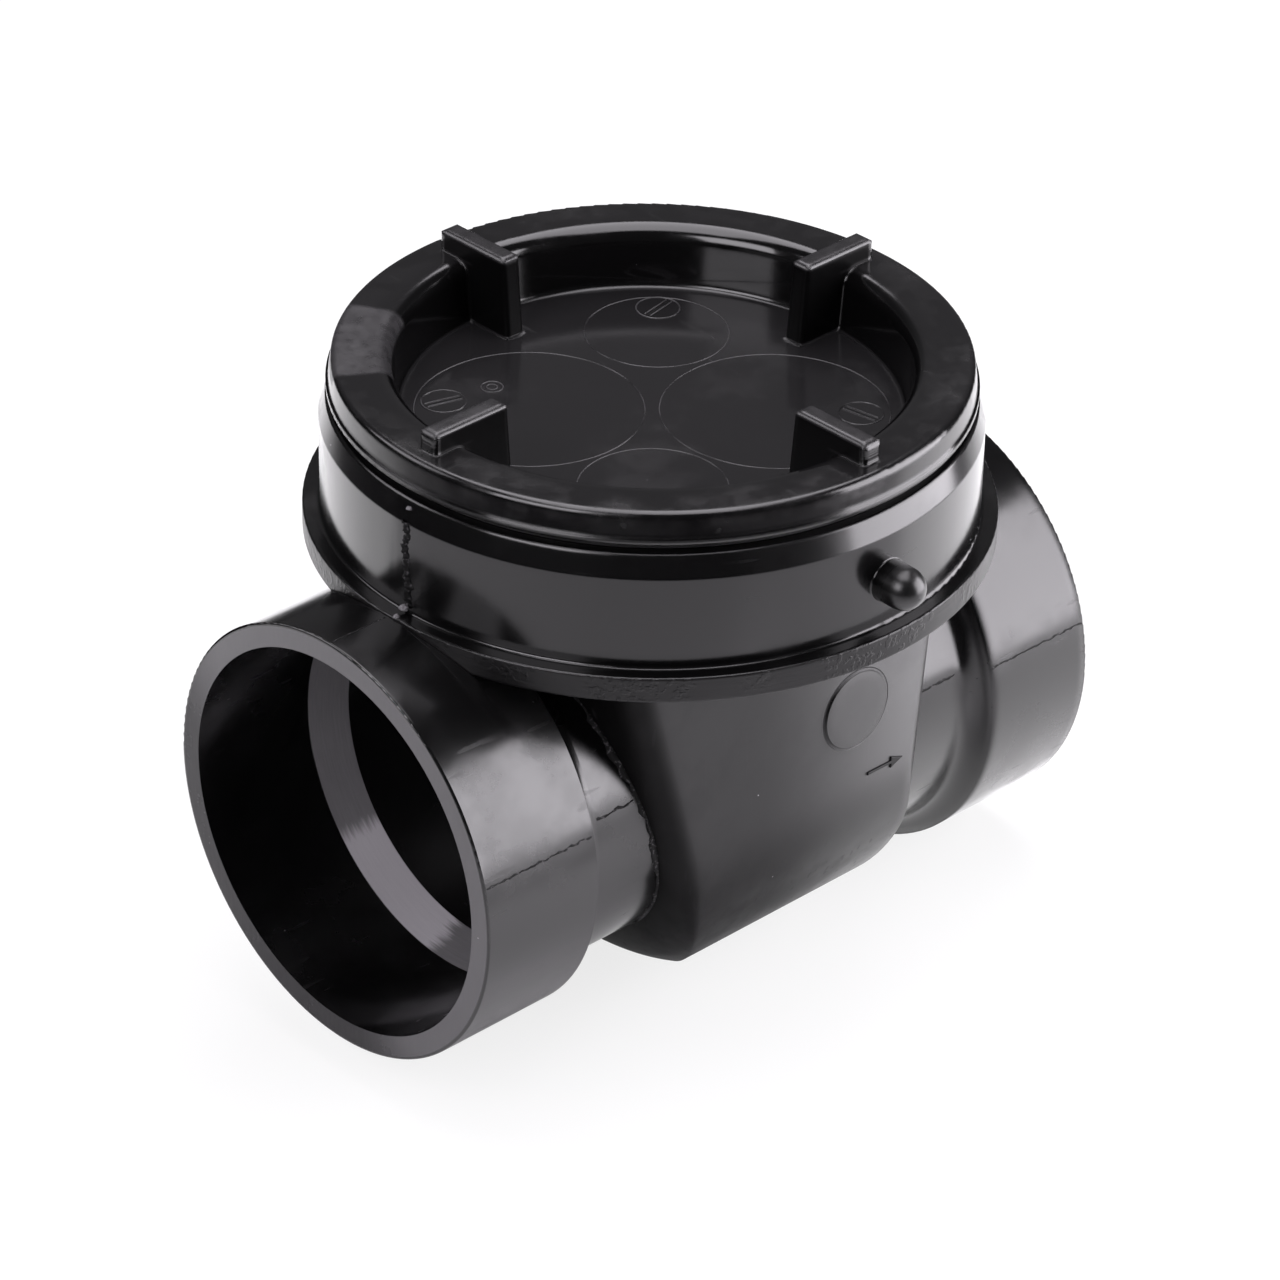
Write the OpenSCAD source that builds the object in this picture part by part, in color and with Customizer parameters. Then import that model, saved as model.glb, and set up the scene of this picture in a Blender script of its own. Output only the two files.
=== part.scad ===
// Backwater valve for a drain pipe, with a screwed access cover and a hinged flapper.
// The origin is the centre of the inlet mouth. Water flows along +X and +Z is up.

/* [Pipe sockets] */
// Outside diameter of the pipe that both hubs take
pipe_od = 114.3; // [108:0.1:120]
// Gap between the pipe and the wall of a socket
socket_gap = 0.15; // [0.05:0.05:0.4]
// How far a pipe goes into a socket
socket_depth = 39.8; // [34:0.1:44]
// Wall of a hub around its socket
hub_wall = 7; // [6:0.1:8]
// Length of a hub up to its shoulder
hub_length = 39.5; // [36:0.1:42]
// Radius of the waterway behind the sockets
waterway_r = 51.5; // [48:0.1:53]
// Length of the cone that narrows a socket to the waterway
stop_length = 10.5; // [6:0.1:12]
// Wall of the stub between a hub and the chamber
stub_wall = 5.7; // [4.5:0.1:6.5]
// Radius of the outer edges of a hub and of the flange
edge_round = 0.6; // [0.3:0.1:1.2]

/* [Chamber] */
// Length from the inlet mouth to the outlet mouth
body_length = 234; // [230:0.5:245]
// Distance from the inlet mouth to the axis of the access neck
neck_x = 118; // [116:0.1:120]
// How far the outlet axis lies under the inlet axis
outlet_drop = 12.4; // [8:0.1:16]
// Wall of the chamber
chamber_wall = 5; // [4:0.1:6]
// Distance from the neck axis to the inlet wall, at the inlet axis
inlet_wall_x = 51.5; // [50:0.1:53]
// Lean of the inlet wall and the seat, from vertical
seat_lean = 15.6; // [12:0.1:18]
// Distance from the neck axis to the outlet wall, at the inlet axis
outlet_wall_x = 48.9; // [47:0.1:50]
// Lean of the outlet wall, from vertical
outlet_lean = 5.3; // [3:0.1:7]
// Radius of the chamber's upright corners at the inlet wall
corner_in_r = 9; // [7:0.1:11]
// Radius of the chamber's upright corners at the outlet wall
corner_out_r = 6; // [4:0.1:8]
// Radius of the chamber's dished lower edge at the inlet wall
belly_in_r = 31; // [28:0.1:33]
// Radius of the chamber's lower edge at the outlet wall
belly_out_r = 8; // [6:0.1:12]
// Radius of the round pad on the side of the chamber
pad_r = 12; // [8:0.1:14]
// How far the pad stands out
pad_t = 0.5; // [0.3:0.1:1]
// Distance from the neck axis to the pad, along the flow
pad_x = 19.3; // [10:0.1:24]
// Height of the pad over the inlet axis
pad_z = 15.7; // [8:0.1:30]
// Height of the seat over the inlet wall
seat_height = 3; // [2:0.1:4]
// Width of the seat's face
seat_width = 4; // [3:0.1:4.4]

/* [Access neck] */
// Outside radius of the neck
neck_r = 92.3; // [90:0.1:95]
// Wall of the neck, at the roots of its thread
neck_wall = 8.3; // [7:0.1:9.5]
// Height of the neck over the flange
neck_height = 34.1; // [30:0.1:40]
// How far the flange stands out past the neck
flange_step = 4.9; // [3:0.1:8]
// Thickness of the flange
flange_t = 7.6; // [7.2:0.1:9]
// Radius of the fillet between the neck and the flange
neck_fillet = 0.8; // [0.5:0.1:2]
// Height of the tapered band at the top of the neck
band_h = 6.6; // [5:0.1:10]
// How much the band narrows up to its top
band_taper = 1.9; // [1:0.1:2.3]
// Chamfer of the neck's top edge
neck_chamfer = 0.5; // [0.3:0.1:1]
// Radius of the domed lug on the side of the neck
lug_r = 6.1; // [5:0.1:7]
// How far the lug stands out, up to its dome
lug_length = 6.2; // [4:0.1:9]
// Height of the lug over the flange
lug_z = 13.7; // [12:0.1:18]

/* [Cover] */
// How far the cover's edge lies inside the neck's outside
cover_inset = 2.1; // [2:0.1:3]
// Thickness of the cover's rim
rim_t = 8.8; // [8:0.1:11]
// Gap between the rim and the top of the neck
rim_gap = 2.7; // [2:0.1:3.2]
// Radius of the rim's rounded top edge
rim_round = 1.6; // [1:0.1:3]
// How much the cover's rim narrows from the lip to its top
rim_taper = 1.3; // [0.5:0.1:2]
// Height of the lip around the rim's foot
lip_t = 1.5; // [1:0.1:3]
// How far the lip stands out
lip_step = 0.3; // [0.2:0.1:0.6]
// Room for the thread between the plug and the neck's bore
thread_room = 3.5; // [3:0.1:4]
// Distance from the plug's outside to the edge of the recess's floor
pan_inset = 9.9; // [9:0.1:11]
// Walls on both sides of the groove that hollows the plug out from below
core_wall = 3.6; // [3:0.1:4.2]
// Depth of the recess
pan_depth = 18.1; // [16:0.1:21]
// Lean of the recess's wall, from vertical
pan_lean = 5; // [3:0.1:6]
// Radius of the recess's top edge
pan_round = 5; // [3:0.1:6]
// Radius of the fillet around the recess's floor
pan_fillet = 1.5; // [1:0.1:2.5]
// Thickness of the recess's floor
pan_floor = 5; // [4:0.1:6]
// Number of wrench ribs
rib_count = 4; // [2:1:6]
// Thickness of a wrench rib
rib_t = 6.4; // [5:0.1:8]
// How far a rib reaches into the recess, along its floor
rib_reach = 15.3; // [12:0.1:20]
// Lean of a rib's inner end, from vertical
rib_lean = 4.7; // [2:0.1:7]
// Angle of the first rib from the flow, with the cover closed
rib_turn = 0.8; // [-5:0.1:5]
// Distance from the rim's edge to a rib's outer end
rib_inset = 6.4; // [5:0.1:8]
// Height of the ribs over the rim
rib_height = 6.2; // [4:0.1:9]
// Radius of the ribs' rounded edges
rib_round = 1.3; // [0.6:0.1:1.8]
// Distance from the neck's bore to the cover gasket
gasket_inset = 0.6; // [0.4:0.1:1]
// Width of the cover gasket
gasket_w = 2.4; // [1.8:0.1:2.6]
// Thickness of the cover gasket
gasket_t = 3.4; // [3.2:0.1:4]
// Gap around the gasket
gasket_gap = 0.15; // [0.1:0.05:0.3]

/* [Flapper] */
// How far the flapper reaches past the edge of the seat's opening
flapper_lap = 4; // [3.5:0.1:4.5]
// Thickness of the flapper plate
flapper_t = 5; // [4:0.1:6]
// Gap between the seal and the seat
seat_gap = 0.3; // [0.2:0.05:0.6]
// Thickness of the seal
seal_t = 3; // [2:0.1:4]
// Width of the seal ring
seal_w = 20; // [16:0.5:24]
// Thickness of the retainer that clamps the seal
retainer_t = 2.5; // [2:0.1:3]
// Gap between the retainer and the waterway
retainer_gap = 6; // [5:0.1:8]
// Height of the stiffening ribs on the flapper
stiffener_h = 6; // [4:0.1:7]
// Thickness of the stiffening ribs
stiffener_t = 4; // [3:0.1:6]
// Radius of the hinge pin
pin_r = 3; // [2.5:0.1:3.5]
// Running gap between the pin and the knuckle
pin_gap = 0.05; // [0.02:0.01:0.09]
// Distance from the flapper's edge up to the pin
pin_rise = 7; // [6:0.1:9]
// Wall of the knuckle around the pin
knuckle_wall = 3.5; // [2.5:0.1:4]
// Length of the knuckle
knuckle_l = 40; // [30:0.5:50]
// Gap between the knuckle and each ear
ear_gap = 0.5; // [0.3:0.1:1]
// Thickness of a hinge ear
ear_t = 6; // [4:0.1:8]
// Number of screws that hold the retainer
screw_count = 6; // [3:1:8]
// Radius of a retainer screw
screw_r = 2; // [1.5:0.1:2.5]
// Radius of a screw head
screw_head_r = 4; // [3.5:0.1:5]
// Height of a screw head
screw_head_t = 2.2; // [1.8:0.1:3]
// Gap between a screw and its hole
screw_gap = 0.1; // [0.05:0.05:0.2]

/* [Hidden] */
$fn = 96;

// How far cuts run past a face, and a length beyond the whole part
cut = 1;
far = 2 * body_length;

// Radii
socket_r = pipe_od / 2 + socket_gap;
hub_r = socket_r + hub_wall;
stub_r = waterway_r + stub_wall;
shoulder_r = hub_r - stub_r;
neck_bore_r = neck_r - neck_wall;
flange_r = neck_r + flange_step;
cover_r = neck_r - cover_inset;
rim_r = cover_r - lip_step;
plug_r = neck_bore_r - thread_room;
pan_r = plug_r - pan_inset;
rib_in_r = pan_r - rib_reach;
rib_out_r = cover_r - rib_inset;
gasket_in_r = neck_bore_r + gasket_inset;
gasket_out_r = gasket_in_r + gasket_w;

// Heights over the inlet axis
flange_z = stub_r;
neck_z = flange_z + flange_t;
neck_top = neck_z + neck_height;
rim_z = neck_top + rim_gap;
rim_top = rim_z + rim_t;
pan_z = rim_top - pan_depth;
plug_z = pan_z - pan_floor;
gasket_z = neck_top + gasket_gap;

// The seat plane crosses the inlet axis here, and its normal leans up by seat_lean
wall_x = neck_x - inlet_wall_x;
seat_x = wall_x + (chamber_wall + seat_height) / cos(seat_lean);

// Flapper pieces, measured along the seat's normal
flapper_r = waterway_r + flapper_lap;
seal_x = seat_gap;
plate_x = seal_x + seal_t;
retainer_r = waterway_r - retainer_gap;
screw_ring_r = (flapper_r - seal_w + retainer_r) / 2;
screw_l = seal_t + flapper_t * 0.8;

// Hinge axis
pin_along = plate_x + flapper_t / 2;
pin_up = flapper_r + pin_rise;
pin_x = seat_x + pin_along * cos(seat_lean) - pin_up * sin(seat_lean);
pin_z = pin_up * cos(seat_lean) + pin_along * sin(seat_lean);
knuckle_r = pin_r + pin_gap + knuckle_wall;
ear_y = knuckle_l / 2 + ear_gap;

// Puts what is drawn along +X from its origin on the outlet axis, facing back from the mouth
module at_outlet() {
    translate([body_length, 0, -outlet_drop]) mirror([1, 0, 0]) children();
}

// Puts the outside of the inlet wall at x = 0, with its normal along +X and up the wall along +Z
module at_wall() {
    translate([wall_x, 0, 0]) rotate([0, -seat_lean, 0]) children();
}

// Puts the seat's plane at x = 0, with the normal along +X and up the seat along +Z
module at_seat() {
    translate([seat_x, 0, 0]) rotate([0, -seat_lean, 0]) children();
}

// Puts what is drawn around the Z axis on the neck's axis
module at_neck() {
    translate([neck_x, 0, 0]) children();
}

// Turns a profile of radius against length around the X axis
module spin_x() {
    rotate([0, 90, 0]) rotate([0, 0, 180]) rotate_extrude() children();
}

// A disc along X, from x to x + t
module disc_x(r, x, t) {
    translate([x, 0, 0]) rotate([0, 90, 0]) cylinder(r = r, h = t);
}

// What rounds off a profile's corner at p, whose two edges leave it along the unit vectors a and b
module round_off(p, a, b, r) {
    half = acos(a * b) / 2;
    inward = (a + b) / norm(a + b);
    run = r / tan(half);
    out = cut * inward;
    centre = p + inward * r / sin(half);
    difference() {
        polygon([p + run * a, centre, p + run * b, p + run * b - out, p - out, p + run * a - out]);
        translate(centre) circle(r);
    }
}

// The outside of a hub, its concave shoulder and the stub behind it
module hub_form(length) {
    spin_x() difference() {
        union() {
            square([hub_r, hub_length]);
            square([stub_r, length]);
            translate([stub_r, hub_length]) square(shoulder_r);
        }
        translate([hub_r, hub_length + shoulder_r]) circle(shoulder_r);
        round_off([hub_r, 0], [-1, 0], [0, 1], edge_round);
    }
}

// The socket, the cone that stops the pipe, and the waterway
module hub_bore(length) {
    spin_x() union() {
        translate([0, -cut]) square([socket_r, socket_depth + cut]);
        polygon([
            [0, socket_depth], [socket_r, socket_depth],
            [waterway_r, socket_depth + stop_length], [0, socket_depth + stop_length]
        ]);
        square([waterway_r, length + cut]);
    }
}

// Everything before the outlet wall, moved back along the wall's normal by inset
module before_outlet_wall(inset) {
    translate([neck_x + outlet_wall_x, 0, 0]) rotate([0, outlet_lean, 0])
        translate([-inset - far, -far / 2, -far / 2]) cube(far);
}

// A trough along X with a round floor about the outlet axis
module trough(r, top) {
    translate([0, 0, -outlet_drop]) rotate([90, 0, 90]) linear_extrude(body_length) union() {
        circle(r);
        translate([-r, 0]) square([2 * r, top + outlet_drop]);
    }
}

// A long bar up to w on both sides of the middle, whose two edges at x = 0 are rounded. The rounds
// run just past the sides, so that what is as wide as the bar keeps its own sides.
module corner_bar(w, r) {
    side = w + r * 0.004;
    linear_extrude(far, center = true) union() {
        translate([r, -side]) square([far, 2 * side]);
        translate([0, r - side]) square([far, 2 * (side - r)]);
        for (y = [r - side, side - r]) translate([r, y]) circle(r);
    }
}

// What rounds off the chamber's lower edge at the inlet wall like the edge of a dish around the
// wall's normal, up to where it just meets the floor. With an inset it does so for the room inside.
module dish_cut(inset) {
    r = belly_in_r;
    floor_z = -outlet_drop - hub_r - r * 0.005;
    flat_r = (r * sin(seat_lean) - floor_z - r) / cos(seat_lean);
    run = r - (r - inset) * sin(seat_lean);
    at_wall() difference() {
        translate([-cut, -far / 2, -far]) cube([run + cut, far, far]);
        spin_x() union() {
            translate([0, -2 * cut]) square([flat_r, r + 2 * cut]);
            translate([flat_r, r]) circle(r - inset);
        }
    }
}

// What rounds off the chamber's lower edge at the outlet wall, with a round that runs just past the
// wall and the floor. With an inset it does so for the room inside.
module heel_cut(inset) {
    r = belly_out_r;
    past = r * 0.03;
    z = r - past - outlet_drop - hub_r;
    x = (r - past) / cos(outlet_lean) - z * tan(outlet_lean);
    out = [cos(outlet_lean), -sin(outlet_lean)];
    rotate([90, 0, 0]) linear_extrude(far, center = true)
        translate([neck_x + outlet_wall_x - x, z]) difference() {
            polygon([[0, 0], [0, -3 * r], 3 * r * (out + [0, -1]), 3 * r * out]);
            circle(r - inset);
        }
}

// The outside of the chamber, up to a height
module chamber_form(top) {
    difference() {
        intersection() {
            trough(hub_r, top);
            at_wall() corner_bar(hub_r, corner_in_r);
            translate([neck_x + outlet_wall_x, 0, 0]) rotate([0, outlet_lean, 0])
                mirror([1, 0, 0]) corner_bar(hub_r, corner_out_r);
        }
        dish_cut(0);
        heel_cut(0);
    }
}

// The room inside the chamber, up to a height
module chamber_room(top) {
    difference() {
        intersection() {
            trough(hub_r - chamber_wall, top);
            at_wall() translate([chamber_wall, 0, 0])
                corner_bar(hub_r - chamber_wall, corner_in_r - chamber_wall);
            before_outlet_wall(chamber_wall);
        }
        dish_cut(chamber_wall);
        heel_cut(chamber_wall);
    }
}

module inlet_hub() {
    color("#26262a") difference() {
        hub_form(neck_x);
        hub_bore(neck_x);
        chamber_form(flange_z + cut);
    }
}

module outlet_hub() {
    color("#26262a") difference() {
        at_outlet() hub_form(body_length - neck_x);
        at_outlet() hub_bore(body_length - neck_x);
        before_outlet_wall(0);
    }
}

// The round pad on the side of the chamber, cut off by the flange
module pad() {
    intersection() {
        translate([neck_x + pad_x, -hub_r + chamber_wall / 2, pad_z]) rotate([90, 0, 0])
            cylinder(r = pad_r, h = chamber_wall / 2 + pad_t);
        trough(hub_r + pad_t, flange_z);
    }
}

module chamber() {
    color("#2b2b2f") difference() {
        union() {
            difference() {
                chamber_form(flange_z);
                chamber_room(flange_z + cut);
            }
            pad();
            difference() {
                disc_x(waterway_r + seat_width, wall_x - stub_r, 2 * stub_r);
                at_wall() translate([chamber_wall / 2 - far, -far / 2, -far / 2]) cube(far);
                at_seat() translate([0, -far / 2, -far / 2]) cube(far);
            }
        }
        disc_x(waterway_r, 0, neck_x);
        at_outlet() disc_x(waterway_r, 0, body_length - neck_x);
    }
}

// The neck, its flange and the fillet between them, before the room below is cut out
module neck_form() {
    top_r = neck_r - band_taper;
    at_neck() rotate_extrude() difference() {
        union() {
            translate([0, flange_z]) square([flange_r, flange_t]);
            polygon([
                [neck_bore_r, neck_z], [neck_r, neck_z], [neck_r, neck_top - band_h],
                [top_r, neck_top - neck_chamfer], [top_r - neck_chamfer, neck_top],
                [neck_bore_r, neck_top]
            ]);
            translate([neck_r, neck_z]) square(neck_fillet);
        }
        translate([neck_r + neck_fillet, neck_z + neck_fillet]) circle(neck_fillet);
        round_off([flange_r, neck_z], [-1, 0], [0, -1], edge_round);
        round_off([flange_r, flange_z], [-1, 0], [0, 1], edge_round);
    }
}

// The domed lug, from inside the neck's wall
module lug() {
    root = (neck_r - neck_bore_r) / 2;
    translate([neck_x, -neck_r + root, neck_z + lug_z]) rotate([90, 0, 0]) rotate_extrude()
        union() {
            square([lug_r, root + lug_length]);
            intersection() {
                translate([0, root + lug_length]) circle(lug_r);
                square([lug_r, root + lug_length + lug_r]);
            }
        }
}

// One hinge ear, from the flange's edge out to the pin
module ear(side) {
    root_x = wall_x - pin_z * tan(seat_lean);
    translate([0, side * (ear_y + ear_t / 2), 0]) rotate([90, 0, 0])
        linear_extrude(ear_t, center = true) union() {
            translate([pin_x, pin_z]) circle(knuckle_r);
            translate([root_x, flange_z]) square([pin_x - root_x, pin_z + knuckle_r - flange_z]);
        }
}

module access_neck() {
    color("#2b2b2f") difference() {
        union() {
            difference() {
                neck_form();
                chamber_room(neck_z + cut);
                hub_form(neck_x);
            }
            lug();
            for (side = [-1, 1]) ear(side);
        }
        pin_form();
    }
}

// The hinge pin, flush with the outer faces of the ears
module pin_form() {
    translate([pin_x, 0, pin_z]) rotate([90, 0, 0])
        cylinder(r = pin_r, h = 2 * (ear_y + ear_t), center = true);
}

module hinge_pin() {
    color("#b9bcc0") pin_form();
}

// The ring of retainer screws, each drawn along +X from the retainer's face
module screw_ring() {
    for (i = [0 : screw_count - 1]) rotate([360 * (i + 0.5) / screw_count, 0, 0])
        translate([seal_x - retainer_t, 0, screw_ring_r]) children();
}

module flapper() {
    color("#333338") at_seat() difference() {
        union() {
            disc_x(flapper_r, plate_x, flapper_t);
            translate([plate_x, -knuckle_l / 2, 0])
                cube([flapper_t, knuckle_l, pin_up]);
            translate([pin_along, 0, pin_up]) rotate([90, 0, 0])
                cylinder(r = knuckle_r, h = knuckle_l, center = true);
            for (y = [-knuckle_l / 3, 0, knuckle_l / 3])
                translate([plate_x, y - stiffener_t / 2, -retainer_r])
                    cube([flapper_t + stiffener_h, stiffener_t, 2 * retainer_r]);
        }
        translate([pin_along, 0, pin_up]) rotate([90, 0, 0])
            cylinder(r = pin_r + pin_gap, h = far, center = true);
        screw_ring() disc_x(screw_r + screw_gap, 0, retainer_t + screw_l + screw_gap);
    }
}

module flapper_seal() {
    color("#17171a") at_seat() difference() {
        disc_x(flapper_r, seal_x, seal_t);
        disc_x(flapper_r - seal_w, seal_x - cut, seal_t + 2 * cut);
        screw_ring() disc_x(screw_r + screw_gap, 0, far);
    }
}

module seal_retainer() {
    color("#333338") at_seat() difference() {
        disc_x(retainer_r, seal_x - retainer_t, retainer_t);
        disc_x(retainer_r - seal_w, seal_x - retainer_t - cut, retainer_t + 2 * cut);
        screw_ring() disc_x(screw_r + screw_gap, -cut, retainer_t + 2 * cut);
    }
}

module retainer_screws() {
    color("#b9bcc0") at_seat() screw_ring() union() {
        disc_x(screw_head_r, -screw_head_t, screw_head_t);
        disc_x(screw_r, -screw_head_t / 2, screw_head_t / 2 + retainer_t + screw_l);
    }
}

module cover_gasket() {
    color("#17171a") at_neck() translate([0, 0, gasket_z]) difference() {
        cylinder(r = gasket_out_r, h = gasket_t);
        translate([0, 0, -cut]) cylinder(r = gasket_in_r, h = gasket_t + 2 * cut);
    }
}

// Half of the cover's section: rim, hollowed plug and recessed floor
module cover_profile() {
    up = [sin(pan_lean), cos(pan_lean)];
    edge = [pan_r + pan_depth * tan(pan_lean), rim_top];
    foot = [rim_r, rim_z];
    brow = [rim_r - rim_taper, rim_top];
    difference() {
        union() {
            translate([0, plug_z]) square([plug_r, rim_z - plug_z]);
            translate([0, rim_z]) square([cover_r, lip_t]);
            polygon([[0, rim_z], foot, brow, [0, rim_top]]);
        }
        round_off(brow, [-1, 0], (foot - brow) / norm(foot - brow), rim_round);
        round_off(edge, [1, 0], -up, pan_round);
        difference() {
            polygon([[0, pan_z], [pan_r, pan_z], edge, edge + [0, cut], [0, rim_top + cut]]);
            round_off([pan_r, pan_z], [-1, 0], up, pan_fillet);
        }
        translate([pan_r + core_wall, plug_z - cut])
            square([pan_inset - 2 * core_wall, rim_z - plug_z + cut]);
        translate([gasket_in_r - gasket_gap, rim_z - cut])
            square([gasket_w + 2 * gasket_gap, gasket_z + gasket_t + gasket_gap - rim_z + cut]);
    }
}

// One wrench rib along +X, standing on the recess's floor and on the rim
module wrench_rib() {
    foot = pan_z - pan_floor / 2;
    ledge = rim_z + lip_t;
    top = rim_top + rib_height;
    up = [sin(rib_lean), cos(rib_lean)];
    tip = [rib_in_r + (top - pan_z) * tan(rib_lean), top];
    intersection() {
        rotate([90, 0, 0]) linear_extrude(far, center = true) difference() {
            polygon([
                tip, [rib_out_r, top], [rib_out_r, ledge], [pan_r + core_wall / 2, ledge],
                [pan_r + core_wall / 2, foot], tip - up * (top - foot) / cos(rib_lean)
            ]);
            round_off(tip, [1, 0], -up, 1.5 * rib_round);
            round_off([rib_out_r, top], [-1, 0], [0, -1], 1.5 * rib_round);
        }
        rotate([90, 0, 90]) linear_extrude(cover_r) difference() {
            translate([-rib_t / 2, foot]) square([rib_t, top - foot]);
            round_off([-rib_t / 2, top], [1, 0], [0, -1], rib_round);
            round_off([rib_t / 2, top], [-1, 0], [0, -1], rib_round);
        }
        translate([rib_in_r, 0, pan_z]) rotate([0, rib_lean, 0]) corner_bar(rib_t / 2, rib_round);
        translate([rib_out_r, 0, 0]) mirror([1, 0, 0]) corner_bar(rib_t / 2, rib_round);
    }
}

module cover() {
    color("#2b2b2f") at_neck() union() {
        rotate_extrude() cover_profile();
        for (i = [0 : rib_count - 1]) rotate([0, 0, rib_turn + 360 * i / rib_count]) wrench_rib();
    }
}

inlet_hub();
outlet_hub();
chamber();
access_neck();
hinge_pin();
flapper();
flapper_seal();
seal_retainer();
retainer_screws();
cover_gasket();
cover();
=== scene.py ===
"""Looks of a backwater valve: black moulded plastic, a screwed cover and a hinged flapper.

The pieces and their materials are in millimetres, and mesh_piece turns them into metres. The
floor, the lamps and the camera are in metres.
"""

import math

import bmesh
import bpy
from mathutils import Matrix, Vector, noise


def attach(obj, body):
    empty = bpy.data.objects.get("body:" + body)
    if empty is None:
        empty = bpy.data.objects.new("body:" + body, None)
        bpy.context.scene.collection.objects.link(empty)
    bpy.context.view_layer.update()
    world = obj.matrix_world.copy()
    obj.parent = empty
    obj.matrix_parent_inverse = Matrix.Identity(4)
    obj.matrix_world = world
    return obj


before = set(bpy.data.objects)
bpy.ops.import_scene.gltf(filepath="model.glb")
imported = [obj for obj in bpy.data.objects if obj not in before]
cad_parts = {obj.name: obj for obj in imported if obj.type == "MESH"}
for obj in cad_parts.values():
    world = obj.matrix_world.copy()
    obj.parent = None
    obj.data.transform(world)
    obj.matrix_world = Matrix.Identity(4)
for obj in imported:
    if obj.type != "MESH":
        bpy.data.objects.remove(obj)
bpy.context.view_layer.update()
scene = bpy.context.scene

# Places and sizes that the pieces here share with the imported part
NECK_X = 118.0
OUTLET_X = 234.0
OUTLET_Z = -12.4
HUB_R = 64.3
STUB_R = 57.2
SOCKET_R = 57.3
SOCKET_L = 39.8
CONE_END = 50.2
CONE_SLOPE = 0.552
NECK_R = 92.3
BORE_R = 84.0
PLUG_R = 80.5
FLANGE_R = 97.2
NECK_Z = 64.8
PAN_Z = 92.3
PAN_R = 70.6
RIM_TOP = 110.4
RIB_TOP = 116.6
RIB_IN_R = 55.3
RIB_T = 6.4
RIB_TURN = 0.8
WALL_X = 66.5
WALL_LEAN = 15.6
PAD_X = 137.3
PAD_Z = 15.7
PAD_R = 12.0
GROUND_Z = -76.7
PITCH = 6.0

# Where the mould's lines lie, in degrees: above the hubs' sides, and around the neck
HUB_LINE_RISE = 14.5
NECK_LINES = (181.4, 1.4)

# The camera that fits the photograph: degrees, pixels and metres
CAMERA_TURN, CAMERA_RISE, CAMERA_ROLL = -43.79, 31.9, 1.09
CAMERA_AIM = Vector((0.11184, -0.00336, 0.02057))
CAMERA_FAR = 1.55448
FOCAL_PX, PHOTO_PX = 5500, 1280
TO_CAMERA = Vector((math.sin(math.radians(CAMERA_TURN)), -math.cos(math.radians(CAMERA_TURN)), 0))


class Shade:
    """A value or colour in one node tree. Its operators add Math nodes."""

    def __init__(self, tree, socket=None):
        self.tree = tree
        self.socket = socket

    def node(self, kind, settings=None, sockets=None, out=0):
        """Adds a node with its settings and inputs, and gives one of its outputs."""
        made = self.tree.nodes.new(kind)
        for key, value in (settings or {}).items():
            setattr(made, key, value)
        for key, value in (sockets or {}).items():
            if isinstance(value, Shade):
                self.tree.links.new(value.socket, made.inputs[key])
            else:
                made.inputs[key].default_value = value
        return Shade(self.tree, made.outputs[out] if made.outputs else None)

    def math(self, operation, *values):
        """Adds a Math node."""
        return self.node("ShaderNodeMath", {"operation": operation}, dict(enumerate(values)))

    def __add__(self, other):
        return self.math("ADD", self, other)

    def __radd__(self, other):
        return self.math("ADD", other, self)

    def __sub__(self, other):
        return self.math("SUBTRACT", self, other)

    def __rsub__(self, other):
        return self.math("SUBTRACT", other, self)

    def __mul__(self, other):
        return self.math("MULTIPLY", self, other)

    def __rmul__(self, other):
        return self.math("MULTIPLY", other, self)

    def __pow__(self, other):
        return self.math("POWER", self, other)

    def __abs__(self):
        return self.math("ABSOLUTE", self)


def blank(owner):
    """The emptied node tree of a material or a world."""
    owner.use_nodes = True
    owner.node_tree.nodes.clear()
    return Shade(owner.node_tree)


def in_millimetres(start):
    """The piece's own coordinates."""
    place = start.node("ShaderNodeTexCoord", out="Object")
    return start.node("ShaderNodeVectorMath", {"operation": "SCALE"}, {0: place, 3: 1000.0})


def over(value, edge, soft):
    """0 below the edge and 1 above it, with a smooth step of the given width."""
    return value.node(
        "ShaderNodeMapRange",
        {"interpolation_type": "SMOOTHSTEP"},
        {0: value, 1: edge - soft / 2, 2: edge + soft / 2},
    )


def between(value, low, high, soft):
    """1 from low to high and 0 outside."""
    return over(value, low, soft) * (1 - over(value, high, soft))


def either(a, b):
    """The stronger of two masks."""
    return a.math("MAXIMUM", a, b)


def grain(point, scale, detail=2.0, stretch=(1, 1, 1), rough=0.5):
    """Soft noise around 0.5 with scale waves to the millimetre, drawn out where stretch is small."""
    spread = point.node("ShaderNodeVectorMath", {"operation": "MULTIPLY"}, {0: point, 1: stretch})
    return point.node(
        "ShaderNodeTexNoise",
        None,
        {"Vector": spread, "Scale": scale, "Detail": detail, "Roughness": rough},
    )


def scratches(point, scale, stretch, amount):
    """Thin marks along the directions in which stretch is small."""
    lines = over(grain(point, scale, 1.0, stretch), 1 - amount, 0.05)
    patches = over(grain(point, 0.03, 2.0), 0.5, 0.25)
    return lines * patches


def specks(point, scale, size, share):
    """Small round dust specks, in a share of the cells."""
    cells = {"Vector": point, "Scale": scale}
    near = 1 - over(point.node("ShaderNodeTexVoronoi", None, cells), size, size * 0.6)
    pick = point.node("ShaderNodeTexVoronoi", None, cells, out="Color")
    red = point.node("ShaderNodeSeparateColor", None, {0: pick})
    return near * over(red, 1 - share, 0.02)


def blend(factor, a, b):
    """One colour going into another."""
    return factor.node("ShaderNodeMix", {"data_type": "RGBA"}, {0: factor, 6: a, 7: b}, out=2)


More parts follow.
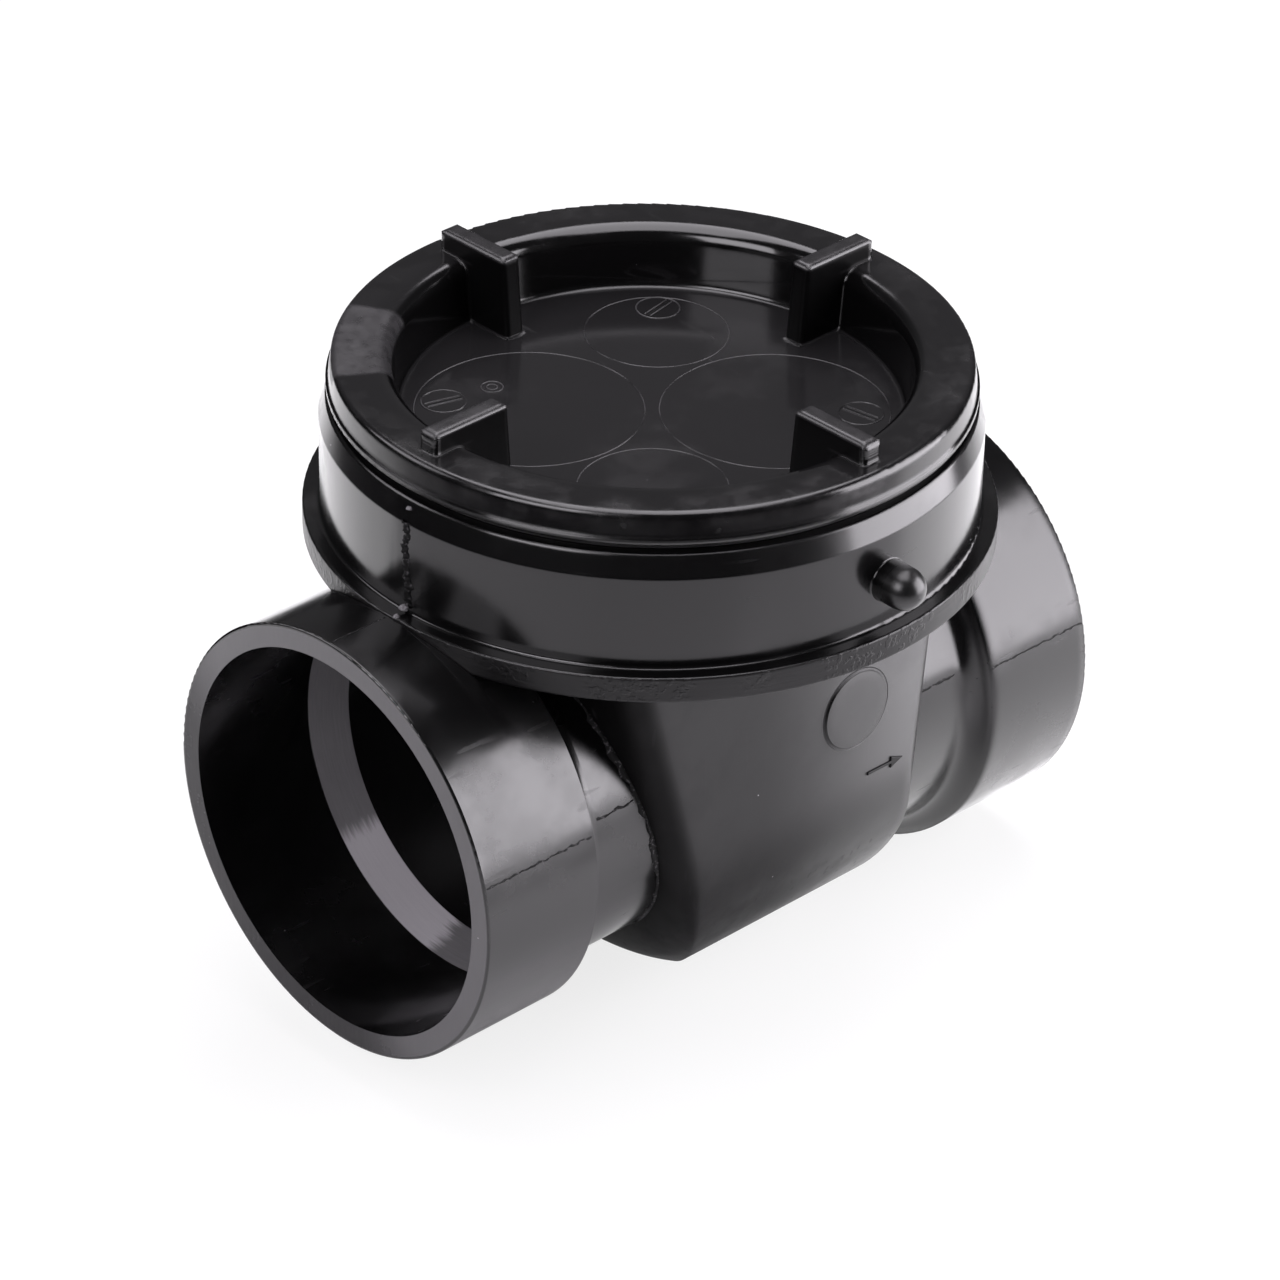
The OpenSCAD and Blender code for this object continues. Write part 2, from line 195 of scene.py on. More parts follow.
def grey(level, tint=0.04):
    """A dark grey with a trace of violet."""
    return (level * (1 + tint), level, level * (1 + tint * 1.4), 1)


def moulded(name, features, rough=0.16, wave=0.02, base=0.002, shine=0.5, soft=0.0, lean=None):
    """Black moulded plastic: uneven gloss, faint waves, fine marks and dust.

    features(point, x, y, z) gives the masks of one piece: pale (worn or sawn faces, rough and
    grey, and on some pieces painted light), dull (rougher only), height (relief in millimetres)
    and, for some, matt (faces mixed with a dimmed copy of the material that hardly shines:
    painted shade on most pieces, and a matt flange edge on the neck). Edges look rounded by soft
    millimetres. lean(x, y, z), which needs soft, gives how far a wall seems to turn towards the
    outlet and upwards.
    """
    material = bpy.data.materials.new(name)
    start = blank(material)
    point = in_millimetres(start)
    x, y, z = (start.node("ShaderNodeSeparateXYZ", None, {0: point}, out=k) for k in range(3))
    pale, dull, height, *matt = features(point, x, y, z)
    cloudy = grain(point, 0.045, 4.0)
    fine = grain(point, 1.6, 3.0)
    handled = over(grain(point, 0.02, 5.0, rough=0.65), 0.56, 0.14)
    dust = specks(point, scale=0.11, size=0.022, share=0.16)
    worn_grey = grey(0.32)
    colour = blend(dust, blend(pale, grey(base), worn_grey), worn_grey)
    gloss = rough + 0.07 * (cloudy - 0.5) + 0.03 * (fine - 0.5) + 0.09 * handled
    gloss = gloss + pale + 0.22 * dull + 0.4 * dust
    waves = wave * (grain(point, 0.05, 1.0) - 0.5)
    relief = height + waves + 0.0016 * (fine - 0.5) + 0.02 * dust
    bump = {"Distance": 0.001, "Height": relief}
    if soft:
        bump["Normal"] = start.node("ShaderNodeBevel", {"samples": 8}, {"Radius": soft * 0.001})
    if lean:
        outwards, upwards = lean(x, y, z)
        turn = start.node("ShaderNodeCombineXYZ", None, {0: outwards, 2: upwards})
        both = {0: bump["Normal"], 1: turn}
        turned = start.node("ShaderNodeVectorMath", {"operation": "ADD"}, both)
        bump["Normal"] = start.node("ShaderNodeVectorMath", {"operation": "NORMALIZE"}, {0: turned})
    skin = {"Base Color": colour, "Normal": start.node("ShaderNodeBump", None, bump), "IOR": 1.52}
    glossy = {**skin, "Roughness": gloss, "Specular IOR Level": shine}
    shader = start.node("ShaderNodeBsdfPrincipled", None, glossy)
    # Painted shade on most pieces: where the mask is set, a dimmed copy of the material that hardly
    # shines is mixed in.
    for mask in matt:
        dim = {**skin, "Roughness": gloss + 0.2, "Specular IOR Level": 0.06}
        flat = start.node("ShaderNodeBsdfPrincipled", None, dim)
        shader = start.node("ShaderNodeMixShader", None, {0: mask, 1: shader, 2: flat})
    start.node("ShaderNodeOutputMaterial", None, {0: shader})
    return material


def around(a, b):
    """Distance from an axis, from the two coordinates across it."""
    return (a * a + b * b) ** 0.5


def hub_features(mouth_x, sign, axis_z):
    """Sawn mouth face with painted shade on its lower back, turned stop cone with painted light on
    its lower part, and fine marks of one hub.
    """

    def features(point, x, y, z):
        depth = (x - mouth_x) * sign
        up = z - axis_z
        r = around(y, up)
        face = (1 - over(depth, 0.15, 0.2)) * (1 - over(r, HUB_R - 0.9, 0.4))
        inside = 1 - over(r + CONE_SLOPE * (depth - SOCKET_L), SOCKET_R + 0.3, 0.1)
        cone = between(depth, SOCKET_L + 0.2, CONE_END, 0.3) * inside
        turned = grain(point, 2.2, 2.0, (1, 0.05, 0.05))
        sawn = grain(point, 0.9, 3.0, (0.2, 1, 0.12))
        marks = scratches(point, 0.35, (0.12, 1, 1), 0.3)
        turn = z.math("ARCTAN2", up, y) + 0.12 * (turned - 0.5)
        # Painted light: the stop cone is made much paler on its lower part, as if lit through the
        # mouth.
        low = between(turn, math.radians(-85), math.radians(-41), 0.1)
        # Painted shade: the face is darker and hardly shines towards its lower back. worn is the
        # sawn grey plus painted light on the rest of the face.
        shaded_lower_back = over(y - up, 32.0, 36.0)
        worn = 0.04 + 0.04 * sawn + 0.1 * (1 - shaded_lower_back)
        pale = either(face * worn, cone * (0.2 + 0.12 * turned + 0.7 * low))
        dull = marks * 0.5 + 0.2 * over(grain(point, 0.06, 4.0), 0.52, 0.2)
        height = 0.03 * cone * turned + 0.01 * face * sawn - 0.004 * marks
        return pale, dull, height, 0.6 * shaded_lower_back * face

    return features


def chamber_features(point, x, y, z):
    """Satin walls with upright scratches, painted shade by the inlet wall and towards the inlet side
    and the bottom, and a groove around the pad.
    """
    marks = scratches(point, 0.5, (1, 1, 0.06), 0.3)
    satin = 0.45 + 0.5 * over(grain(point, 0.05, 4.0), 0.45, 0.4)
    past_wall = x - WALL_X + math.tan(math.radians(WALL_LEAN)) * z
    # Painted shade: a dimmed copy that hardly shines, by the inlet wall and towards the inlet side
    # and the bottom.
    inlet_corner_shade = 0.92 * (1 - over(past_wall, 9.0, 11.0))
    shade_left_and_low = 0.56 * (1 - over(x, 132.0, 70.0)) + 0.22 * (1 - over(z, -15.0, 24.0))
    from_pad = around(x - PAD_X, z - PAD_Z)
    groove = between(from_pad, PAD_R - 0.1, PAD_R + 0.7, 0.4) * over(0 - y, 60.0, 2.0)
    pale = 0.015 * marks
    dull = satin * 0.8 + 0.4 * marks
    height = 0.006 * marks - 0.3 * groove
    return pale, dull, height, either(inlet_corner_shade, shade_left_and_low)


def chamber_lean(x, y, z):
    """The sides bulge a little towards the outlet, and the round pad stays flat."""
    side = over(abs(y), 56.0, 6.0) * over(z, -20.0, 24.0)
    outwards, upwards = 0.0026, 0.0045
    past = x.math("MAXIMUM", x - 96.0, 0.0)
    pad = (1 - over(around(x - PAD_X, z - PAD_Z), PAD_R, 0.5)) * over(0 - y, 0.0, 1.0)
    level = 38.0 - 0.4 * (x - 132.0)
    bulge = side * (past + pad * (level - past))
    return outwards * bulge, upwards * bulge


def neck_features(point, x, y, z):
    """Glossy neck on a flange whose edge is rough and drawn with level marks."""
    r = around(x - NECK_X, y)
    edge = over(r, FLANGE_R - 0.45, 0.5) * (1 - over(z, NECK_Z - 0.2, 0.5))
    drawn = grain(point, 0.8, 3.0, (0.05, 0.05, 1.6))
    stipple = over(grain(point, 0.55, 2.0), 0.56, 0.16) * over(grain(point, 0.03, 1.0), 0.46, 0.1)
    marks = scratches(point, 0.45, (0.1, 0.1, 1), 0.27)
    pale = edge * (0.002 + 0.01 * drawn)
    lug = over(r, NECK_R + 3.0, 5.0) * over(z, NECK_Z + 4.0, 2.0)
    dull = edge * 0.6 + 0.5 * marks + 0.75 * lug
    beside = 1 - over(abs(y + 2.3), 9.0, 12.0)
    uneven = 0.2 * beside * grain(point, 0.11, 2.0, (1, 1, 0.35))
    height = edge * (0.05 * drawn + 0.1 * stipple) - 0.004 * marks + uneven
    return pale, dull, height, 0.45 * edge


def cover_features(point, x, y, z):
    """Glossy cover: a scuffed patch across the rim, brushed rib tops, rib faces dimmed as painted
    shade, and haze.
    """
    dx = x - NECK_X
    r = around(dx, y)
    turn = dx.math("ARCTAN2", y, dx)
    top = over(z, RIM_TOP - 4.0, 2.0) * (1 - over(z, RIM_TOP + 0.3, 0.2))
    patch = between(turn, math.radians(121), math.radians(148), 0.03) * over(r, 70.0, 1.0) * top
    scuffed = patch * (0.75 + 0.5 * over(grain(point, 0.3, 3.0), 0.45, 0.5))
    crest = over(z, RIB_TOP - 1.2, 0.6)
    brushed = grain(point, 0.9, 3.0, (0.3, 0.3, 1))
    ends = over(z, RIM_TOP + 0.4, 0.4) * over(r, 82.6, 0.6)
    stepped = ends * grain(point, 1.1, 1.0, (0.02, 0.02, 1))
    marks = scratches(point, 0.3, (1, 0.15, 1), 0.27)
    rubbed = over(r, 79.0, 6.0) * top * over(grain(point, 0.12, 4.0), 0.5, 0.12)
    level = 0.5 * top * over(z, RIM_TOP - 0.5, 0.4) * over(r, PAN_R, 2.0)
    haze = either((1 - over(z, PAN_Z + 0.5, 0.4)) * (1 - over(r, PAN_R, 2.0)), level)
    pale = either(0.05 * scuffed, crest * (0.01 + 0.06 * brushed)) + 0.024 * haze
    dull = 0.5 * scuffed + 0.3 * rubbed + 0.5 * marks + 0.3 * crest
    height = 0.02 * crest * brushed - 0.004 * marks + 0.003 * scuffed + 0.12 * stepped
    half = RIB_T / 2 + 0.1
    cos, sin = math.cos(math.radians(RIB_TURN)), math.sin(math.radians(RIB_TURN))
    u, w = abs(dx * cos + y * sin), abs(y * cos - dx * sin)
    rib = over(r, RIB_IN_R - 0.3, 0.3) * either(1 - over(u, half, 0.1), 1 - over(w, half, 0.1))
    # Painted shade: the rib faces in the recess are mixed with the dimmed copy that hardly shines.
    matt = rib * between(z, PAN_Z + 0.5, RIB_TOP - 0.9, 0.3) * (1 - over(r, 82.0, 1.0))
    return pale, dull, height, matt


def inner_features(point, x, y, z):
    """Satin moulded flapper pieces with a fine even grain."""
    worn = over(grain(point, 0.1, 4.0), 0.55, 0.2)
    return 0.02 * worn, 0.8 + 0.4 * grain(point, 0.3), 0.012 * grain(point, 2.5)


def line_features(point, x, y, z):
    """Torn plastic along a mould line: matt, with a few pale crumbs."""
    crumbs = over(grain(point, 1.1, 3.0), 0.6, 0.1)
    return 0.15 * crumbs, 2.2 - 1.2 * crumbs, 0.12 * grain(point, 1.6, 3.0)


def trace_features(point, x, y, z):
    """Thin raised lines, painted a little paler than the face that they stand on: a painted
    highlight.
    """
    # Painted highlight: the lines' paleness stands in for light along their crests, in uneven
    # patches.
    rubbed = over(grain(point, 0.06, 3.0), 0.5, 0.3)
    return 0.025 + 0.09 * rubbed, 0.5 * rubbed, 0.01 * rubbed


def nub_features(point, x, y, z):
    """Whitened plastic, torn and crumbly."""
    torn = grain(point, 1.2, 3.0)
    return 0.18 + 0.45 * torn, 0.6 + torn, 0.3 * torn


def slot_shade_and_mark_features(point, x, y, z):
    """A dull dark skin: painted shade standing in for the shadow at the bottom of a slot, and the
    dull skin of a raised mark.
    """
    worn = grain(point, 0.8, 3.0)
    return 0.01 * worn, 1.0 + 0.6 * worn, 0.02 * worn


def rubber(name):
    """Soft black rubber with a matt, slightly dusty skin."""

    def features(point, x, y, z):
        bloom = over(grain(point, 0.08, 5.0), 0.5, 0.3)
        return 0.045 * bloom, 1.6 + 0.6 * bloom, 0.03 * grain(point, 1.4, 3.0)

    return moulded(name, features, rough=0.2, base=0.009)


def steel(name):
    """Stainless steel with turning marks."""
    material = bpy.data.materials.new(name)
    start = blank(material)
    point = in_millimetres(start)
    turned = grain(point, 3.0, 3.0, (1, 0.15, 1))
    stain = grain(point, 0.2, 4.0)
    colour = blend(over(stain, 0.55, 0.3), (0.58, 0.58, 0.6, 1), (0.4, 0.39, 0.38, 1))
    normal = start.node("ShaderNodeBump", None, {"Distance": 0.001, "Height": 0.02 * turned})
    shader = start.node(
        "ShaderNodeBsdfPrincipled",
        None,
        {"Base Color": colour, "Metallic": 1.0, "Roughness": 0.22 + 0.2 * stain, "Normal": normal},
    )
    start.node("ShaderNodeOutputMaterial", None, {0: shader})
    return material


inlet_black = moulded("inlet_hub_black", hub_features(mouth_x=0.0, sign=1.0, axis_z=0.0), shine=0.54)
outlet_black = moulded(
    "outlet_hub_black", hub_features(mouth_x=OUTLET_X, sign=-1.0, axis_z=OUTLET_Z), soft=5.0
)
chamber_black = moulded(
    "chamber_black", chamber_features, rough=0.24, shine=0.64, soft=6.0, lean=chamber_lean
)
neck_black = moulded("neck_black", neck_features, soft=0.9)
cover_black = moulded("cover_black", cover_features, rough=0.11, soft=2.0)
flapper_black = moulded("flapper_black", inner_features, rough=0.2, base=0.012)
seal_black = rubber("seal_rubber")
pin_steel = steel("pin_steel")
line_black = moulded("mould_line_black", line_features, shine=0.2)
trace_black = moulded("trace_black", trace_features)
slot_shade_black = moulded("slot_shade_black", slot_shade_and_mark_features, shine=0.08)
nub_grey = moulded("nub_grey", nub_features)
mark_black = moulded("mark_black", slot_shade_and_mark_features, rough=0.12, shine=0.2)

for node, material in {
    "inlet_hub": inlet_black,
    "outlet_hub": outlet_black,
    "chamber": chamber_black,
    "access_neck": neck_black,
    "cover": cover_black,
    "flapper": flapper_black,
    "seal_retainer": flapper_black,
    "flapper_seal": seal_black,
    "cover_gasket": seal_black,
    "hinge_pin": pin_steel,
    "retainer_screws": pin_steel,
}.items():
    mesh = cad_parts[node].data
    mesh.materials.clear()
    mesh.materials.append(material)


def mesh_piece(name, bm, material, body, smooth=True):
    """Makes a finished piece from a bmesh in millimetres and lets it ride on a body."""
    bmesh.ops.remove_doubles(bm, verts=bm.verts, dist=1e-4)
    bmesh.ops.recalc_face_normals(bm, faces=bm.faces)
    bmesh.ops.scale(bm, verts=bm.verts, vec=(0.001, 0.001, 0.001))
    mesh = bpy.data.meshes.new(name)
    bm.to_mesh(mesh)
    bm.free()
    for polygon in mesh.polygons:
        polygon.use_smooth = smooth
    mesh.materials.append(material)
    piece = bpy.data.objects.new(name, mesh)
    scene.collection.objects.link(piece)
    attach(piece, body)


def loop(bm, points):
    """A closed loop of edges through a few points."""
    verts = [bm.verts.new(p) for p in points]
    edges = [bm.edges.new((verts[k], verts[k - 1])) for k in range(len(verts))]
    return verts + edges


def ring_ridge(bm, centre, radius, width, height, steps):
    """A thin raised circle lying level at centre."""
    cx, cy, cz = centre
    half = width / 2
    low = height * 0.8
    profile = [(-half, -0.1), (-half / 2, low), (0, height), (half / 2, low), (half, -0.1)]
    geom = loop(bm, [(cx + radius + across, cy, cz + up) for across, up in profile])
    bmesh.ops.spin(
        bm, geom=geom, cent=centre, axis=(0, 0, 1), angle=math.tau,
        steps=steps, use_merge=True, use_duplicate=False,
    )


def ragged_bar(bm, start, end, up, width, height, roughness):
    """A thin uneven ridge from start to end, sunk at its edges in a face whose normal is up."""
    start, end, up = Vector(start), Vector(end), Vector(up).normalized()
    along = end - start
    side = up.cross(along).normalized()
    count = max(6, int(along.length / 0.35))
    strip = bmesh.ops.create_grid(bm, x_segments=count, y_segments=6, size=0.5)["verts"]
    for v in strip:
        across = 2 * v.co.y
        far = (v.co.x + 0.5) * along.length
        wobble = noise.noise(Vector((far * 0.45, start.x, start.z)))
        spread = 1 + roughness * 0.7 * noise.noise(Vector((far * 0.9, start.y, 3.0)))
        bite = noise.noise(Vector((far * 1.7, across * 1.6, start.y + 7.0)))
        rise = height * (1 - across * across) * (1 + roughness * bite) - 0.05 * abs(across)
        shift = width / 2 * (across * spread + roughness * wobble)
        v.co = start + along * (v.co.x + 0.5) + side * shift + up * rise


def on_pan(angle, out):
    """A place on the recess's floor, from the cover's axis."""
    a = math.radians(angle)
    return Vector((NECK_X + out * math.cos(a), out * math.sin(a), PAN_Z))


def circle_lines():
    """Fine circles on the recess's floor, where the mould's inserts met."""
    bm = bmesh.new()
    large, small = (34, 32), (43.5, 20.6)
    for angle, (out, radius) in ((139.5, large), (-44.6, large), (45, small), (-133, small)):
        ring_ridge(bm, on_pan(angle, out), radius, width=0.5, height=0.14, steps=96)
    mesh_piece("pan_circle_lines", bm, trace_black, "cover")


def slotted_marks():
    """Four round marks, each with its slot drawn as a low dark strip of painted shade, and one plain
    double ring, on the recess's floor.
    """
    rings = bmesh.new()
    slot_shade_strips = bmesh.new()
    mark_out, mark_r, slot_reach, slot_half = 57.8, 6.3, 5.4, 0.95
    up = (0, 0, 1)
    for angle, lie in ((45, 11), (135, -16), (-45, -80), (-135, 60)):
        centre = on_pan(angle, mark_out)
        ring_ridge(rings, centre, mark_r, width=0.6, height=0.2, steps=40)
        along = Vector((math.cos(math.radians(lie)), math.sin(math.radians(lie)), 0)) * slot_reach
        side = Vector((-along.y, along.x, 0)).normalized() * slot_half
        start, end = centre - along, centre + along
        for s in (-1, 1):
            shift = s * side
            ragged_bar(rings, start + shift, end + shift, up, width=0.5, height=0.25, roughness=0.1)
        # The slot is not cut: a low, dull dark strip lies between the two ridges as painted shade.
        ragged_bar(slot_shade_strips, start, end, up, width=1.5, height=0.04, roughness=0.1)
    dial = on_pan(123.8, 45.7)
    for radius, width, height, steps in ((3.1, 0.5, 0.2, 32), (1.5, 0.4, 0.16, 24)):
        ring_ridge(rings, dial, radius, width, height, steps)
    mesh_piece("pan_slotted_marks", rings, trace_black, "cover")
    mesh_piece("pan_slot_shade", slot_shade_strips, slot_shade_black, "cover")


def rib_feet():
    """Thin rounded beads around the feet of the wrench ribs."""
    bm = bmesh.new()
    up, width, height, roughness = (0, 0, 1), 1.3, 0.45, 0.1
    for k in range(4):
        a = math.radians(RIB_TURN + 90 * k)
        out = Vector((math.cos(a), math.sin(a), 0))
        across = Vector((-out.y, out.x, 0)) * RIB_T / 2
        foot = Vector((NECK_X, 0, PAN_Z))
        inner, outer = foot + out * RIB_IN_R, foot + out * (PAN_R - 0.5)
        for s in (-1, 1):
            ragged_bar(bm, inner + s * across, outer + s * across, up, width, height, roughness)
        ragged_bar(bm, inner - across, inner + across, up, width, height, roughness)
    mesh_piece("rib_feet", bm, cover_black, "cover")


def flow_arrow():
    """A plain raised arrow along the flow, on the side of the chamber."""
    bm = bmesh.new()
    tail, head, tip = 143.0, 152.2, 157.0
    shaft, half, drop = 0.5, 1.9, 8.4
    sunk, rise, rounding = 0.1, 0.65, 0.25
    lower = [(tail, -shaft), (head, -shaft), (head, -half), (tip, 0)]
    outline = lower + [(x, -z) for x, z in lower[2::-1]]
    face = bm.faces.new([bm.verts.new((x, sunk - HUB_R, z - drop)) for x, z in outline])
    raised = bmesh.ops.extrude_face_region(bm, geom=[face])["geom"]
    tips = [v for v in raised if isinstance(v, bmesh.types.BMVert)]
    bmesh.ops.translate(bm, vec=(0, -rise, 0), verts=tips)
    rim = [e for e in bm.edges if all(v in tips for v in e.verts)]
    bmesh.ops.bevel(
        bm, geom=rim, offset=rounding, offset_type="OFFSET", affect="EDGES",
        segments=2, profile=0.5, material=-1,
    )
    mesh_piece("flow_arrow", bm, mark_black, "valve_body", smooth=False)


def mould_lines():
    """Ragged lines where the mould's parts met: on the hubs, the stubs and the neck."""
    hubs = bmesh.new()
    outlet = Vector((OUTLET_X, 0, OUTLET_Z))
    height, roughness = 0.14, 1.3
    hub, stub = (1.0, 38.8, HUB_R, 0.7), (47.0, 60.5, STUB_R, 0.9)
    for turn in (HUB_LINE_RISE, 180 - HUB_LINE_RISE):
        up = Vector((0, -math.cos(math.radians(turn)), math.sin(math.radians(turn))))
        for start, end, r, width in (hub, stub):
            near, far, out = Vector((start, 0, 0)), Vector((end, 0, 0)), up * r
            ragged_bar(hubs, near + out, far + out, up, width, height, roughness)
            ragged_bar(hubs, outlet - far + out, outlet - near + out, up, width, height, roughness)
    near, far = Vector((1.0, 0, HUB_R)), Vector((20.0, 0, HUB_R))
    ragged_bar(hubs, near, far, (0, 0, 1), width=0.5, height=0.12, roughness=1.2)
    mesh_piece("hub_mould_lines", hubs, line_black, "valve_body")
    neck = bmesh.new()
    low, high = Vector((0, 0, NECK_Z + 2.2)), Vector((0, 0, 93.0))
    for angle in NECK_LINES:
        up = Vector((math.cos(math.radians(angle)), math.sin(math.radians(angle)), 0))
        foot = Vector((NECK_X, 0, 0)) + up * NECK_R
        ragged_bar(neck, foot + low, foot + high, up, width=2.6, height=0.7, roughness=1.3)
    mesh_piece("neck_mould_lines", neck, line_black, "valve_body")


def sprue_nubs():
    """Small torn nubs at the ends of the neck's mould lines and on the flange."""
    bm = bmesh.new()
    foot, edge, head = (NECK_R + 0.9, NECK_Z + 1.6), (FLANGE_R - 1.0, NECK_Z), (91.0, 96.6)
    for angle in NECK_LINES:
        out = Vector((math.cos(math.radians(angle)), math.sin(math.radians(angle)), 0))
        for (r, z), size in ((foot, 1.3), (edge, 0.9), (head, 0.9)):
            ball = bmesh.ops.create_icosphere(bm, subdivisions=3, radius=size)["verts"]
            for v in ball:
                lump = 1 + 0.5 * noise.noise(v.co * 1.3 + Vector((r, angle, 0)))
                flat = Vector((v.co.x, v.co.y, v.co.z * 0.6))
                v.co = Vector((NECK_X, 0, z)) + out * r + flat * lump
    mesh_piece("sprue_nubs", bm, nub_grey, "valve_body")


def stub_flash():
    """A torn edge of flash around the inlet stub, where it runs into the leaning wall."""
    bm = bmesh.new()
    profile = [(0, -0.3), (-2.2, -0.1), (-0.8, 0.35), (0.6, 0.5), (0.6, -0.3)]
    geom = loop(bm, [(x, 0, STUB_R + rise) for x, rise in profile])
    bmesh.ops.spin(
        bm, geom=geom, cent=(0, 0, 0), axis=(1, 0, 0), angle=math.tau,
        steps=240, use_merge=True, use_duplicate=False,
    )
    slope = math.tan(math.radians(WALL_LEAN))
    for v in bm.verts:
        tear = noise.noise(Vector((v.co.x, v.co.y * 0.16, v.co.z * 0.16)))
        fray = noise.noise(Vector((v.co.y * 0.7, v.co.z * 0.7, 4.0)))
        reach = v.co.x * max(0.2, 0.8 + 1.4 * tear + 0.8 * fray)
        v.co.x = WALL_X - v.co.z * slope + reach
    mesh_piece("stub_flash", bm, line_black, "valve_body")


def thread(name, inner, outer, low, turns, phase, material, body, inward):
    """One start of a right-hand thread with run-out ends, standing on a wall at the neck's axis."""
    bm = bmesh.new()
    root, crest, fade = 2.9, 1.4, 1.6
    steps_per_turn = 72
    wall, tip = (outer, inner) if inward else (inner, outer)
    profile = [(wall, -root / 2), (tip, -crest / 2), (tip, crest / 2), (wall, root / 2)]
    geom = loop(bm, [(NECK_X + r, 0, low + up) for r, up in profile])
    steps = int(steps_per_turn * turns)
    bmesh.ops.spin(
        bm, geom=geom, cent=(NECK_X, 0, 0), axis=(0, 0, 1), dvec=(0, 0, PITCH * turns / steps),
        angle=math.tau * turns, steps=steps, use_merge=False, use_duplicate=False,
    )
    high = low + PITCH * turns
    for v in bm.verts:
        dx, dy = v.co.x - NECK_X, v.co.y
        r = math.hypot(dx, dy)
        runs_out = min(1.0, max(0.04, (min(v.co.z - low, high - v.co.z) + crest) / fade))
        grown = wall + (r - wall) * runs_out
        v.co.x, v.co.y = NECK_X + dx * grown / r, dy * grown / r
    ends = [e for e in bm.edges if e.is_boundary]
    bmesh.ops.holes_fill(bm, edges=ends, sides=4)
    turn = Matrix.Rotation(math.radians(phase), 3, "Z")
    bmesh.ops.rotate(bm, verts=bm.verts, cent=(NECK_X, 0, 0), matrix=turn)
    mesh_piece(name, bm, material, body)


circle_lines()
slotted_marks()
rib_feet()
flow_arrow()
mould_lines()
sprue_nubs()
stub_flash()
thread(
    "neck_thread", inner=81.9, outer=BORE_R + 0.2, low=77.0, turns=3.3, phase=0,
    material=neck_black, body="valve_body", inward=True,
)
thread(
    "cover_thread", inner=PLUG_R - 0.2, outer=82.7, low=89.0, turns=1.6, phase=180,
    material=cover_black, body="cover", inward=False,
)


def ground():
    """White floor that keeps a soft shadow. In reflections it is dimmed as painted shade except for
    a brighter patch in front of the part, is brightest behind the part and ends in the dark of the
    room."""
    bm = bmesh.new()
    bmesh.ops.create_grid(bm, x_segments=8, y_segments=8, size=4.0)
    middle = Vector((NECK_X, 0, GROUND_Z - 0.1)) * 0.001
    bmesh.ops.translate(bm, vec=middle, verts=bm.verts)
    mesh = bpy.data.meshes.new("floor")
    bm.to_mesh(mesh)
    bm.free()
    material = bpy.data.materials.new("floor_white")
    start = blank(material)
    seen = start.node("ShaderNodeLightPath", out="Is Camera Ray")
    mirrored = start.node("ShaderNodeLightPath", out="Is Glossy Ray")
    place = start.node("ShaderNodeTexCoord", out="Object")
    x, y = (start.node("ShaderNodeSeparateXYZ", None, {0: place}, out=k) for k in range(2))
    x = x - middle.x
    forward = x * TO_CAMERA.x + y * TO_CAMERA.y
    sideways = y * TO_CAMERA.x - x * TO_CAMERA.y
    behind = 1 - over(forward, 0.03, 0.08)
    far = over(around(x, y), 0.62, 0.2)
    # Painted shade in reflections: the floor's colour there is dimmed to 0.7, except a clear patch
    # in front of the part that stays at 0.96.
    clear = between(forward, 0.07, 0.28, 0.06) * between(sideways, -0.02, 0.2, 0.06)
    tone = blend(clear, (0.7, 0.7, 0.7, 1), (0.96, 0.96, 0.96, 1))
    tone = blend(mirrored, (0.86, 0.86, 0.86, 1), tone)
    lit = start.node("ShaderNodeBsdfDiffuse", None, {"Color": tone})
    white = start.node("ShaderNodeEmission", None, {"Color": (1, 1, 1, 1), "Strength": 1.0})
    paper = start.node("ShaderNodeMixShader", None, {0: seen * 0.8, 1: lit, 2: white})
    glare = blend(mirrored * behind, (0, 0, 0, 1), (0.9, 0.9, 0.9, 1))
    shine = start.node("ShaderNodeEmission", None, {"Color": glare, "Strength": 1.0})
    near = start.node("ShaderNodeAddShader", None, {0: paper, 1: shine})
    room = start.node("ShaderNodeBsdfDiffuse", None, {"Color": (0.04, 0.04, 0.042, 1)})
    shader = start.node("ShaderNodeMixShader", None, {0: mirrored * far, 1: near, 2: room})
    start.node("ShaderNodeOutputMaterial", None, {0: shader})
    mesh.materials.append(material)
    floor = bpy.data.objects.new("floor", mesh)
    scene.collection.objects.link(floor)


def sky():
    """White to the camera, and a dim room with a paler back for everything else."""
    world = bpy.data.worlds.new("studio")
    scene.world = world
    start = blank(world)
    seen = start.node("ShaderNodeLightPath", out="Is Camera Ray")
    towards = start.node("ShaderNodeTexCoord", out="Generated")
    pale_back = (0.557, 0.663, 0.5)
    back = start.node(
        "ShaderNodeVectorMath",
        {"operation": "DOT_PRODUCT"},
        {0: towards, 1: pale_back},
        out="Value",
    )
    glow = over(back, 0.86, 0.26)
    room = blend(glow, (0.05, 0.05, 0.052, 1), (0.14, 0.137, 0.143, 1))
    colour = blend(seen, room, (1, 1, 1, 1))
    shader = start.node("ShaderNodeBackground", None, {"Color": colour, "Strength": 1.0})
    start.node("ShaderNodeOutputWorld", None, {0: shader})


